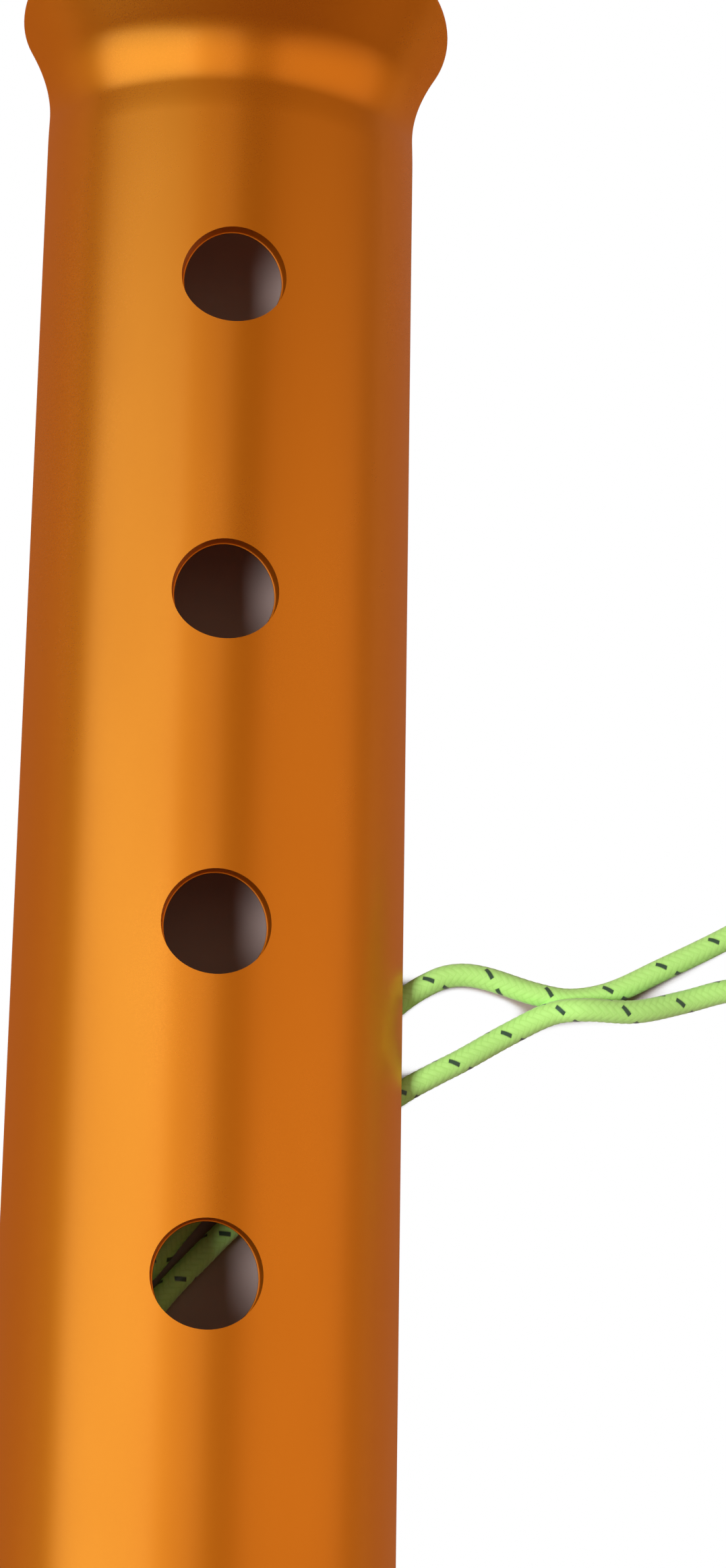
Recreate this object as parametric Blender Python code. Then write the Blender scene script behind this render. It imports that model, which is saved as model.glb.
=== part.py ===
"""Snow peg: a drilled channel of curved sheet with a flared head, lying on its own cord.

The frame: +X to the side where the cord comes out, +Y along the peg towards its head, +Z up.
The origin is on the ground, under the middle of the peg's own box. Lengths are in metres.
"""

import math

import bmesh
import bpy
from mathutils import Matrix, Vector
from mathutils.geometry import interpolate_bezier

MM = 0.001

# Channel: part of a round tube's wall, with its hollow side down
PEG_LENGTH = 300.0 * MM
CHANNEL_WIDTH = 24.5 * MM
CHANNEL_DEPTH = 7.0 * MM
SHEET = 1.0 * MM
SWEEP_STEPS = 36

# Flared head: how far its end stands out from the channel, and the shapes that lead there
HEAD_OVERHANG = 5.3 * MM
FLARE_ANGLE = math.radians(37.0)
FLARE_FILLET = 7.0 * MM
# The head's corners are quarter ellipses; their width is a share of the way to the crown
HEAD_CORNER_LENGTH = 4.85 * MM
HEAD_CORNER_SHARE = 0.8
ARC_STEPS = 6

# Row of holes along the crown
HOLE_DIAMETER = 7.0 * MM
HOLE_PITCH = 22.0 * MM
HEAD_TO_FIRST_HOLE = 23.5 * MM
LAST_HOLE_TO_TAPER = 8.0 * MM
HOLE_STEPS = 32

# Tip: its outline narrows to a round nose
TIP_TAPER_LENGTH = 45.0 * MM
NOSE_RADIUS = 3.5 * MM
NOSE_STEPS = 10

# How far the cutters stand out past what they cut
CUTTER_MARGIN = 5.0 * MM

# Cord, and the gap between it and the edge that lies on it
CORD_DIAMETER = 1.5 * MM
GROUND_GAP = 0.05 * MM
EDGE_GAP = 0.3 * MM
CUT_GAP = 0.3 * MM
CORD_STEP = 3.2 * MM
CORD_TURN = math.radians(16.0)
CORD_SIDES = 2

# Joining knot: wraps of the cord's two ends round each other
KNOT_CENTRE = Vector((58.0, 96.0, 3.6)) * MM
KNOT_CORE_DIAMETER = 4.0 * MM
KNOT_WRAPS = 6
KNOT_STEPS = 20

# The cord's route in millimetres: across, along, and the height of its middle above that of
# a cord that lies on the ground. It starts at one tail, runs through the knot, round the loop,
# under the peg's edge, up through one hole, down through the next and back to the knot.
LONG_SIDE = [
    (42.5, 98.9, 0.0),
    (46.4, 98.9, 0.25),
    (49.6, 98.2, 1.35),
    (52.6, 97.2, 2.6),
    (55.0, 96.95, 2.8),
    (58.0, 96.95, 2.8),
    (61.0, 96.95, 2.8),
    (63.6, 97.15, 2.6),
    (67.4, 97.6, 1.25),
    (71.5, 97.6, 0.15),
    (76.5, 96.8, 0.0),
    (81.6, 94.4, 0.0),
    (84.9, 90.4, 0.0),
    (84.9, 85.6, 0.0),
    (81.2, 82.0, 0.0),
    (74.5, 80.6, 0.0),
    (66.0, 80.8, 0.0),
    (56.5, 82.2, 0.0),
    (47.0, 83.7, 0.0),
    (39.5, 83.9, 0.0),
    (33.7, 82.73, 0.0),
    (30.9, 81.79, 0.05),
    (27.47, 80.69, 0.75),
    (24.08, 80.43, 1.25),
    (22.12, 80.23, 0.7),
    (19.55, 78.94, 0.05),
    (16.34, 76.9, 0.0),
    (14.82, 76.01, 0.0),
    (12.55, 74.58, 0.0),
    (9.3, 72.0, 0.0),
    (6.2, 69.4, 0.0),
]
THROUGH_PEG = [
    (3.9, 67.35, 0.0),
    (1.79, 65.22, 0.0),
    (-0.11, 63.12, 0.0),
    (-1.93, 61.02, 0.0),
    (-3.0, 59.4, 0.0),
    (-3.6, 57.5, 0.0),
    (-3.75, 55.2, 0.0),
    (-3.4, 52.8, 0.0),
    (-2.4, 49.8, 0.0),
    (-1.4, 47.2, 0.1),
    (-0.8, 44.8, 0.7),
    (-0.6, 42.8, 1.9),
    (-0.6, 41.1, 3.8),
    (-0.6, 39.5, 5.9),
    (-0.6, 37.6, 7.75),
    (-0.6, 35.0, 8.7),
    (-0.6, 31.5, 8.85),
    (-0.6, 27.5, 8.85),
    (-0.6, 23.5, 8.85),
    (-0.6, 20.0, 8.7),
    (-0.6, 17.4, 7.75),
    (-0.6, 15.5, 5.9),
    (-0.6, 13.9, 3.8),
    (-0.7, 12.2, 1.9),
    (-1.0, 10.2, 0.6),
    (-1.9, 8.0, 0.05),
    (-3.9, 6.4, 0.0),
    (-6.2, 6.9, 0.0),
    (-7.6, 9.3, 0.0),
    (-8.0, 13.0, 0.0),
    (-8.0, 22.0, 0.0),
    (-8.0, 34.0, 0.0),
    (-8.0, 44.0, 0.0),
    (-7.5, 51.0, 0.0),
    (-6.2, 57.0, 0.0),
    (-4.5, 60.6, 0.0),
    (-2.66, 62.99, 0.0),
    (-1.93, 64.03, 0.0),
    (-1.18, 65.06, 0.0),
    (1.2, 68.0, 0.0),
]
SHORT_SIDE = [
    (3.4, 70.5, 0.0),
    (6.2, 73.8, 0.0),
    (9.3, 77.4, 0.0),
    (12.48, 80.58, 0.0),
    (14.77, 82.13, 0.0),
    (16.3, 82.55, 0.0),
    (17.92, 82.44, 0.0),
    (21.13, 81.64, 0.0),
    (23.42, 81.4, 0.0),
    (26.03, 82.04, 0.0),
    (29.29, 83.77, 0.0),
    (33.75, 86.28, 0.0),
    (38.5, 89.3, 0.0),
    (43.2, 92.1, 0.1),
    (47.6, 94.0, 0.9),
    (51.4, 94.9, 2.4),
    (55.0, 95.05, 2.8),
    (58.0, 95.05, 2.8),
    (61.0, 95.05, 2.8),
    (63.8, 94.8, 2.4),
    (67.0, 93.9, 1.1),
    (70.2, 92.7, 0.15),
    (73.6, 91.4, 0.0),
]

# What follows from the sizes above: the channel's arc, and the height of its inner corners is 0
OUTER_RADIUS = (CHANNEL_WIDTH ** 2 / 4 + CHANNEL_DEPTH ** 2) / (2 * CHANNEL_DEPTH)
INNER_RADIUS = OUTER_RADIUS - SHEET
HALF_ANGLE = math.asin(CHANNEL_WIDTH / 2 / OUTER_RADIUS)
ARC_HEIGHT = -INNER_RADIUS * math.cos(HALF_ANGLE)
FOOT_X = INNER_RADIUS * math.sin(HALF_ANGLE)
HEAD_RADIUS = OUTER_RADIUS + HEAD_OVERHANG
HEAD_Y = PEG_LENGTH / 2
TIP_Y = -PEG_LENGTH / 2

# One edge is on the ground and the other lies over the cord, so the peg leans to one side
LEAN_HEIGHT = CORD_DIAMETER + GROUND_GAP + EDGE_GAP
LEAN = math.asin(LEAN_HEIGHT / (2 * FOOT_X))
# Leaning moves the head's wide corners sideways, and this brings their middle back to 0
LEAN_SHIFT = (ARC_HEIGHT + HEAD_RADIUS * math.cos(HALF_ANGLE)) * math.sin(LEAN)


def finish(thing, label, colour, roughness, metallic):
    """Give an object its own plain material."""
    material = bpy.data.materials.new(label)
    material.use_nodes = True
    shader = material.node_tree.nodes["Principled BSDF"]
    shader.inputs["Base Color"].default_value = (*colour, 1.0)
    shader.inputs["Roughness"].default_value = roughness
    shader.inputs["Metallic"].default_value = metallic
    thing.data.materials.append(material)


def place(name, data, parent=None):
    """Put mesh or curve data into the scene under a node's name."""
    thing = bpy.data.objects.new(name, data)
    bpy.context.scene.collection.objects.link(thing)
    thing.parent = parent
    return thing


def mesh_from(name, shape, smooth=True):
    """Turn a bmesh into a mesh, smooth except at its real edges."""
    bmesh.ops.recalc_face_normals(shape, faces=shape.faces)
    mesh = bpy.data.meshes.new(name)
    shape.to_mesh(mesh)
    shape.free()
    if smooth:
        mesh.shade_smooth()
        mesh.set_sharp_from_angle(angle=math.radians(32.0))
    return mesh


def arc(along, radius, size, start, end):
    """Points of (along, radius) on an arc; angle 0 points away from the axis, 90 to the head."""
    points = []
    for step in range(ARC_STEPS + 1):
        angle = start + (end - start) * step / ARC_STEPS
        points.append((along + size * math.sin(angle), radius + size * math.cos(angle)))
    return points


def sheet_profile():
    """The sheet in section along the peg: up its outside, over the end and back down inside."""
    slope = math.tan(FLARE_ANGLE)
    cone_foot_radius = OUTER_RADIUS + FLARE_FILLET * (1 - math.cos(FLARE_ANGLE))
    cone_foot_along = HEAD_Y - (HEAD_RADIUS - cone_foot_radius) / slope
    fillet_along = cone_foot_along - FLARE_FILLET * math.sin(FLARE_ANGLE)
    fillet_radius = OUTER_RADIUS + FLARE_FILLET
    turn = (math.pi, math.pi - FLARE_ANGLE)

    outside = [(TIP_Y, OUTER_RADIUS)]
    outside += arc(fillet_along, fillet_radius, FLARE_FILLET, *turn)
    outside.append((HEAD_Y, HEAD_RADIUS))
    inside = [(TIP_Y, INNER_RADIUS)]
    inside += arc(fillet_along, fillet_radius, FLARE_FILLET + SHEET, *turn)
    inside.append((HEAD_Y, HEAD_RADIUS - SHEET / math.cos(FLARE_ANGLE)))
    return outside + inside[::-1]


def bent_sheet():
    """The profile swept about the channel's own arc, as one closed solid."""
    shape = bmesh.new()
    start = Matrix.Rotation(-HALF_ANGLE, 3, "Y")
    centre = Vector((0, 0, ARC_HEIGHT))
    points = []
    for along, radius in sheet_profile():
        points.append(shape.verts.new(start @ Vector((0, along, radius)) + centre))
    section = shape.faces.new(points)
    whole = list(shape.verts) + list(shape.edges) + [section]
    bmesh.ops.spin(shape, geom=whole, cent=centre, axis=(0, 1, 0),
                   angle=2 * HALF_ANGLE, steps=SWEEP_STEPS, use_merge=False)
    return mesh_from("peg_channel", shape)


def hole_places():
    """Where the holes' middles are along the peg, as many as fit before the tip's taper."""
    first = HEAD_Y - HEAD_TO_FIRST_HOLE
    room = first - (TIP_Y + TIP_TAPER_LENGTH + LAST_HOLE_TO_TAPER)
    return [first - HOLE_PITCH * number for number in range(int(room / HOLE_PITCH) + 1)]


def cutter(name, shape, parent):
    """An object that only cuts others and isn't part of the peg."""
    tool = place(name, mesh_from(name, shape, smooth=False), parent)
    tool.hide_render = True
    tool.display_type = "WIRE"
    return tool


def drills(parent):
    """Round cutters for the whole row of holes."""
    shape = bmesh.new()
    for along in hole_places():
        bmesh.ops.create_cone(shape, cap_ends=True, segments=HOLE_STEPS, radius1=HOLE_DIAMETER / 2,
                              radius2=HOLE_DIAMETER / 2, depth=2 * CHANNEL_DEPTH,
                              matrix=Matrix.Translation((0, along, CHANNEL_DEPTH)))
    return cutter("hole_drills", shape, parent)


def prism(shape, outline, way):
    """Add a prism to a bmesh: the outline, moved along the way."""
    face = shape.faces.new([shape.verts.new(point) for point in outline])
    moved = bmesh.ops.extrude_face_region(shape, geom=[face])["geom"]
    points = [item for item in moved if isinstance(item, bmesh.types.BMVert)]
    bmesh.ops.translate(shape, verts=points, vec=way)


def corner_trims(parent):
    """Cutters that round off the head's two corners, square to the channel's own axis."""
    shape = bmesh.new()
    inner = INNER_RADIUS / 2
    reach = 2 * HEAD_RADIUS / inner
    for side in (-1, 1):
        columns = []
        for step in range(2 * ARC_STEPS + 1):
            turn = math.pi / 2 * step / (2 * ARC_STEPS)
            angle = HALF_ANGLE * (1 - HEAD_CORNER_SHARE * (1 - math.sin(turn)))
            columns.append((angle, HEAD_Y - HEAD_CORNER_LENGTH * (1 - math.cos(turn))))
        columns.append((HALF_ANGLE + CUTTER_MARGIN / OUTER_RADIUS, columns[-1][1]))
        pairs = []
        for angle, along in columns:
            over = Vector((side * math.sin(angle), 0, math.cos(angle))) * inner
            places = (along, HEAD_Y + CUTTER_MARGIN)
            pairs.append([shape.verts.new(over + Vector((0, y, ARC_HEIGHT))) for y in places])
        strip = [shape.faces.new((a[0], a[1], b[1], b[0])) for a, b in zip(pairs, pairs[1:])]
        moved = bmesh.ops.extrude_face_region(shape, geom=strip)["geom"]
        points = [item for item in moved if isinstance(item, bmesh.types.BMVert)]
        bmesh.ops.scale(shape, verts=points, vec=(reach, 1, reach),
                        space=Matrix.Translation((0, 0, -ARC_HEIGHT)))
    return cutter("corner_trims", shape, parent)


def tip_trim(parent):
    """A cutter that leaves the tip its narrowing sides and round nose, seen from above."""
    half = CHANNEL_WIDTH / 2
    reach = TIP_TAPER_LENGTH - NOSE_RADIUS
    touch = math.atan2(half, reach) + math.acos(NOSE_RADIUS / math.hypot(half, reach))
    nose = Vector((0, TIP_Y + NOSE_RADIUS, -CUTTER_MARGIN))
    sides = []
    for step in range(NOSE_STEPS + 1):
        angle = touch + (math.tau - 2 * touch) * step / NOSE_STEPS
        sides.append(nose + Vector((math.sin(angle), math.cos(angle), 0)) * NOSE_RADIUS)

    # The straight sides go on past the channel's width, and the rest goes round behind the tip
    top = Vector((half, TIP_Y + TIP_TAPER_LENGTH, -CUTTER_MARGIN))
    out = sides[0] + (top - sides[0]) * (1 + CUTTER_MARGIN / TIP_TAPER_LENGTH)
    back = TIP_Y - CUTTER_MARGIN
    outline = [out] + sides + [Vector((-out.x, out.y, out.z))]
    outline += [Vector((-out.x, back, out.z)), Vector((out.x, back, out.z))]
    shape = bmesh.new()
    prism(shape, outline, (0, 0, CHANNEL_DEPTH + 2 * CUTTER_MARGIN))
    return cutter("tip_trim", shape, parent)


def cut(thing, tool):
    """Take a cutter's shape out of an object."""
    boolean = thing.modifiers.new(tool.name, "BOOLEAN")
    boolean.operation = "DIFFERENCE"
    boolean.solver = "EXACT"
    boolean.object = tool


def peg_channel():
    """The drilled sheet, bent and cut in its own upright frame, then leaned on the cord."""
    leaning = bpy.data.objects.new("leaning_peg", None)
    bpy.context.scene.collection.objects.link(leaning)
    leaning.location = (LEAN_SHIFT, 0, FOOT_X * math.sin(LEAN))
    leaning.rotation_euler = (0, -LEAN, 0)
    channel = place("peg_channel", bent_sheet(), leaning)
    cut(channel, drills(leaning))
    cut(channel, corner_trims(leaning))
    cut(channel, tip_trim(leaning))
    finish(channel, "orange anodised aluminium", (0.78, 0.25, 0.012), 0.32, 1.0)


def smooth_line(route):
    """Dense points on a smooth curve through the route, and each route point's place among them."""
    lying = CORD_DIAMETER / 2 + GROUND_GAP
    points = [Vector((x * MM + LEAN_SHIFT, y * MM, lift * MM + lying)) for x, y, lift in route]
    before = [points[0]] + points[:-1]
    after = points[1:] + [points[-1]]
    headings = [(b - a).normalized() for a, b in zip(before, after)]
    dense = 16
    line = [points[0]]
    for number in range(len(points) - 1):
        start, end = points[number], points[number + 1]
        reach = (end - start).length / 3
        handles = (start + headings[number] * reach, end - headings[number + 1] * reach)
        line += interpolate_bezier(start, *handles, end, dense + 1)[1:]
    return line, [number * dense for number in range(len(points))]


def shortened(line, start_gap, end_gap):
    """The line's points without what is nearer to its ends than the gaps."""
    kept = [p for p in line if (p - line[0]).length >= start_gap and (p - line[-1]).length >= end_gap]
    return kept


def spaced(line):
    """Fewer points of a dense line: a new one after each step along it or turn in it."""
    kept = [line[0]]
    along = turned = 0.0
    for before, point, after in zip(line, line[1:], line[2:]):
        along += (point - before).length
        turned += (point - before).angle(after - point)
        if along >= CORD_STEP or turned >= CORD_TURN:
            kept.append(point)
            along = turned = 0.0
    if (kept[-1] - line[-1]).length < CORD_DIAMETER / 2:
        kept.pop()
    return kept + [line[-1]]


def cord_piece(name, points):
    """One stretch of the cord: a round tube through the points."""
    curve = bpy.data.curves.new(name, "CURVE")
    curve.dimensions = "3D"
    curve.twist_mode = "MINIMUM"
    curve.bevel_depth = CORD_DIAMETER / 2
    curve.bevel_resolution = CORD_SIDES
    curve.use_fill_caps = True
    spline = curve.splines.new("POLY")
    spline.points.add(len(points) - 1)
    for place_on_spline, point in zip(spline.points, points):
        place_on_spline.co = (*point, 1.0)
    stretch = place(name, curve)
    finish(stretch, name + " braid", (0.33, 0.78, 0.08), 0.8, 0.0)


def cord():
    """The whole cord on one smooth line, parted twice beneath the peg."""
    line, places = smooth_line(LONG_SIDE + THROUGH_PEG + SHORT_SIDE)
    first = places[len(LONG_SIDE) - 1]
    second = places[len(LONG_SIDE) + len(THROUGH_PEG) - 1]
    cord_piece("cord_long_side", spaced(line[:first + 1]))
    cord_piece("cord_through_peg", spaced(shortened(line[first:second + 1], CUT_GAP, 0.0)))
    cord_piece("cord_short_side", spaced(shortened(line[second:], CUT_GAP, 0.0)))


def joining_knot():
    """The wraps of the knot as one grooved barrel with a way through for the two ends."""
    half = CORD_DIAMETER / 2
    core = KNOT_CORE_DIAMETER / 2
    end = KNOT_WRAPS * half
    profile = [(end, core)]
    for wrap in range(KNOT_WRAPS):
        middle = end - CORD_DIAMETER * (wrap + 0.5)
        for angle in (75, 25, -25, -75):
            rise = math.radians(angle)
            profile.append((middle + half * math.sin(rise), core + half * (1 + math.cos(rise))))
    profile.append((-end, core))

    # Flats that touch the profile's circles, and a flat faces straight down
    half_step = math.pi / KNOT_STEPS
    corner = 1 / math.cos(half_step)
    shape = bmesh.new()
    points = []
    for along, radius in profile:
        across = radius * corner * math.sin(half_step)
        points.append(shape.verts.new((along, across, -radius)))
    edges = [shape.edges.new((a, b)) for a, b in zip(points, points[1:] + points[:1])]
    bmesh.ops.spin(shape, geom=points + edges, cent=(0, 0, 0), axis=(1, 0, 0),
                   angle=math.tau, steps=KNOT_STEPS, use_merge=True)
    knot = place("joining_knot", mesh_from("joining_knot", shape))
    knot.location = KNOT_CENTRE + Vector((LEAN_SHIFT, 0, 0))
    finish(knot, "knotted braid", (0.33, 0.78, 0.08), 0.8, 0.0)


def main():
    """Clear the scene and build the peg."""
    for old in list(bpy.data.objects):
        bpy.data.objects.remove(old, do_unlink=True)
    peg_channel()
    cord()
    joining_knot()


main()
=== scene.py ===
"""A snow peg with its loop of reflective cord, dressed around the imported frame."""

import logging
import math
from dataclasses import dataclass, field
from enum import Enum

import bmesh
import bpy
from mathutils import Matrix, Quaternion, Vector
from mathutils.geometry import interpolate_bezier


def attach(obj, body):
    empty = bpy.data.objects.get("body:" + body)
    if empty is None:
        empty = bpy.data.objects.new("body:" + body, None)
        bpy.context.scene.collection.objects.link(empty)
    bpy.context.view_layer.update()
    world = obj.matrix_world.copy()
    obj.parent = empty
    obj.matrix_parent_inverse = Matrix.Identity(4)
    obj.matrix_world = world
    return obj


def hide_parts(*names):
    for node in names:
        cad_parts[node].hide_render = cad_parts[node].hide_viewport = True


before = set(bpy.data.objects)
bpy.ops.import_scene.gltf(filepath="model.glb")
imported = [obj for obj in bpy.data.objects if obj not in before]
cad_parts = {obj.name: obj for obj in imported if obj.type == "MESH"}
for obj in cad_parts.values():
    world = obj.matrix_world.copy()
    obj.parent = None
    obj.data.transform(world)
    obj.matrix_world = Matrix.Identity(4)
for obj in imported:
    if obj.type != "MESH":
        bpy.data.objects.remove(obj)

MM = 0.001
LOG = logging.getLogger("snow_peg")

# How near a point of the flat sheet is to a face when it counts as on it
ON_FACE = 1e-7
# The least upward share of a flat blank's normal, up or down, that makes its face level
LEVEL = 0.999

Triple = tuple[float, float, float]
Colour = tuple[float, float, float]


class Side(Enum):
    """The two sides of the peg, as seen from above with its head away."""

    LEFT = -1
    RIGHT = 1


class Stretch(Enum):
    """The cord's three stretches, parted beneath the peg."""

    LONG_SIDE = "cord_long_side"
    THROUGH_PEG = "cord_through_peg"
    SHORT_SIDE = "cord_short_side"


class Nodes:
    """Builds one material out of shader nodes."""

    def __init__(self, name: str) -> None:
        """Start an empty material.

        Args:
            name: the material's name.
        """
        self.material = bpy.data.materials.new(name)
        self.material.use_nodes = True
        self.tree = self.material.node_tree
        self.tree.nodes.clear()
        self.output = self.tree.nodes.new("ShaderNodeOutputMaterial")

    def add(self, kind: str, **settings: object) -> bpy.types.Node:
        """Add a node.

        Args:
            kind: the node's type, without its ShaderNode prefix.
            settings: properties of the node to set.

        Returns:
            The new node.
        """
        node = self.tree.nodes.new("ShaderNode" + kind)
        for key, value in settings.items():
            setattr(node, key, value)
        return node

    def join(self, source: object, target: object) -> None:
        """Link an output socket, or set a plain value, on an input socket.

        Args:
            source: the output socket or the value.
            target: the input socket.
        """
        if isinstance(source, bpy.types.NodeSocket):
            self.tree.links.new(source, target)
        else:
            target.default_value = source

    def math(self, operation: str, first: object, second: object = 0.0,
             clamp: bool = False) -> bpy.types.NodeSocket:
        """Work out one number.

        Args:
            operation: the Math node's operation.
            first: its first socket or number.
            second: its second socket or number.
            clamp: whether the result is kept between 0 and 1.

        Returns:
            The socket that holds the result.
        """
        node = self.add("Math", operation=operation, use_clamp=clamp)
        self.join(first, node.inputs[0])
        self.join(second, node.inputs[1])
        return node.outputs[0]

    def blend(self, share: object, first: object, second: object) -> bpy.types.NodeSocket:
        """Mix two colours.

        Args:
            share: how much of the second colour shows, a socket or a number.
            first: the first colour.
            second: the second colour.

        Returns:
            The socket that holds the mixed colour.
        """
        node = self.add("Mix", data_type="RGBA")
        self.join(share, node.inputs["Factor"])
        self.join(first, node.inputs[6])
        self.join(second, node.inputs[7])
        return node.outputs[2]

    def ramp(self, value: object, low: float, high: float, start: float,
             end: float) -> bpy.types.NodeSocket:
        """Map one range of numbers to another, clamped at its ends.

        Args:
            value: the socket to map.
            low: the value that gives start.
            high: the value that gives end.
            start: the result at low.
            end: the result at high.

        Returns:
            The socket that holds the result.
        """
        node = self.add("MapRange", clamp=True)
        for number, source in enumerate((value, low, high, start, end)):
            self.join(source, node.inputs[number])
        return node.outputs[0]

    def noise(self, vector: bpy.types.NodeSocket, scale: float, detail: float = 2.0,
              roughness: float = 0.5) -> bpy.types.NodeSocket:
        """A noise pattern.

        Args:
            vector: where it is looked up.
            scale: how many of its grains go into one unit.
            detail: how many finer layers it has.
            roughness: how much the finer layers show.

        Returns:
            The socket that holds the pattern.
        """
        node = self.add("TexNoise")
        self.join(vector, node.inputs["Vector"])
        self.join(scale, node.inputs["Scale"])
        self.join(detail, node.inputs["Detail"])
        self.join(roughness, node.inputs["Roughness"])
        return node.outputs[0]

    def scaled(self, vector: bpy.types.NodeSocket, scale: Triple) -> bpy.types.NodeSocket:
        """Stretch a vector along its axes.

        Args:
            vector: the socket to stretch.
            scale: how much, along each axis.

        Returns:
            The socket that holds the result.
        """
        node = self.add("Mapping")
        self.join(vector, node.inputs["Vector"])
        self.join(scale, node.inputs["Scale"])
        return node.outputs[0]


def rgb(red: float, green: float, blue: float) -> tuple[float, float, float, float]:
    """A colour with full alpha."""
    return (red, green, blue, 1.0)


@dataclass(frozen=True)
class AnodisedSheet:
    """Satin orange anodising over bead-blasted aluminium sheet."""

    colour: Colour = (0.89, 0.27, 0.008)
    deeper: Colour = (0.87, 0.257, 0.006)
    roughness: float = 0.3
    cut_roughness: float = 0.3
    unevenness: float = 0.02
    grain: float = 0.12 * MM
    blotch: float = 9.0 * MM
    drawn_line: float = 0.35 * MM
    line_depth: float = 0.02 * MM
    line_strength: float = 0.025
    coat: float = 0.2
    coat_roughness: float = 0.22
    coat_ior: float = 1.6

    def make(self) -> bpy.types.Material:
        """Build the material on object coordinates.

        Returns:
            The finished material.
        """
        nodes = Nodes("orange_anodised_sheet")
        where = nodes.add("TexCoord").outputs["Object"]
        cloud = nodes.noise(nodes.scaled(where, (1.0, 0.35, 1.0)), 1 / self.blotch, 3.0)
        fine = nodes.noise(where, 1 / self.grain, 1.0)
        drawn = nodes.noise(nodes.scaled(where, (1.0, 0.02, 1.0)), 1 / self.drawn_line, 2.0)

        shader = nodes.add("BsdfPrincipled")
        dye = nodes.blend(nodes.ramp(cloud, 0.35, 0.65, 0.0, 1.0), rgb(*self.colour),
                          rgb(*self.deeper))
        nodes.join(dye, shader.inputs["Base Color"])
        nodes.join(1.0, shader.inputs["Metallic"])
        uneven = nodes.math("ADD", nodes.ramp(cloud, 0.3, 0.7, -self.unevenness, self.unevenness),
                            nodes.ramp(fine, 0.3, 0.7, self.roughness - self.unevenness,
                                       self.roughness + self.unevenness))
        cut = nodes.add("Attribute", attribute_name="cut").outputs["Fac"]
        nodes.join(nodes.math("ADD", uneven, nodes.math("MULTIPLY", cut, self.cut_roughness)),
                   shader.inputs["Roughness"])
        nodes.join(self.coat, shader.inputs["Coat Weight"])
        nodes.join(self.coat_roughness, shader.inputs["Coat Roughness"])
        nodes.join(self.coat_ior, shader.inputs["Coat IOR"])

        relief = nodes.math("MULTIPLY", drawn, 0.5)
        bump = nodes.add("Bump")
        nodes.join(self.line_strength, bump.inputs["Strength"])
        nodes.join(self.line_depth, bump.inputs["Distance"])
        nodes.join(relief, bump.inputs["Height"])
        nodes.join(bump.outputs[0], shader.inputs["Normal"])
        nodes.join(shader.outputs[0], nodes.output.inputs["Surface"])
        return nodes.material


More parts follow.
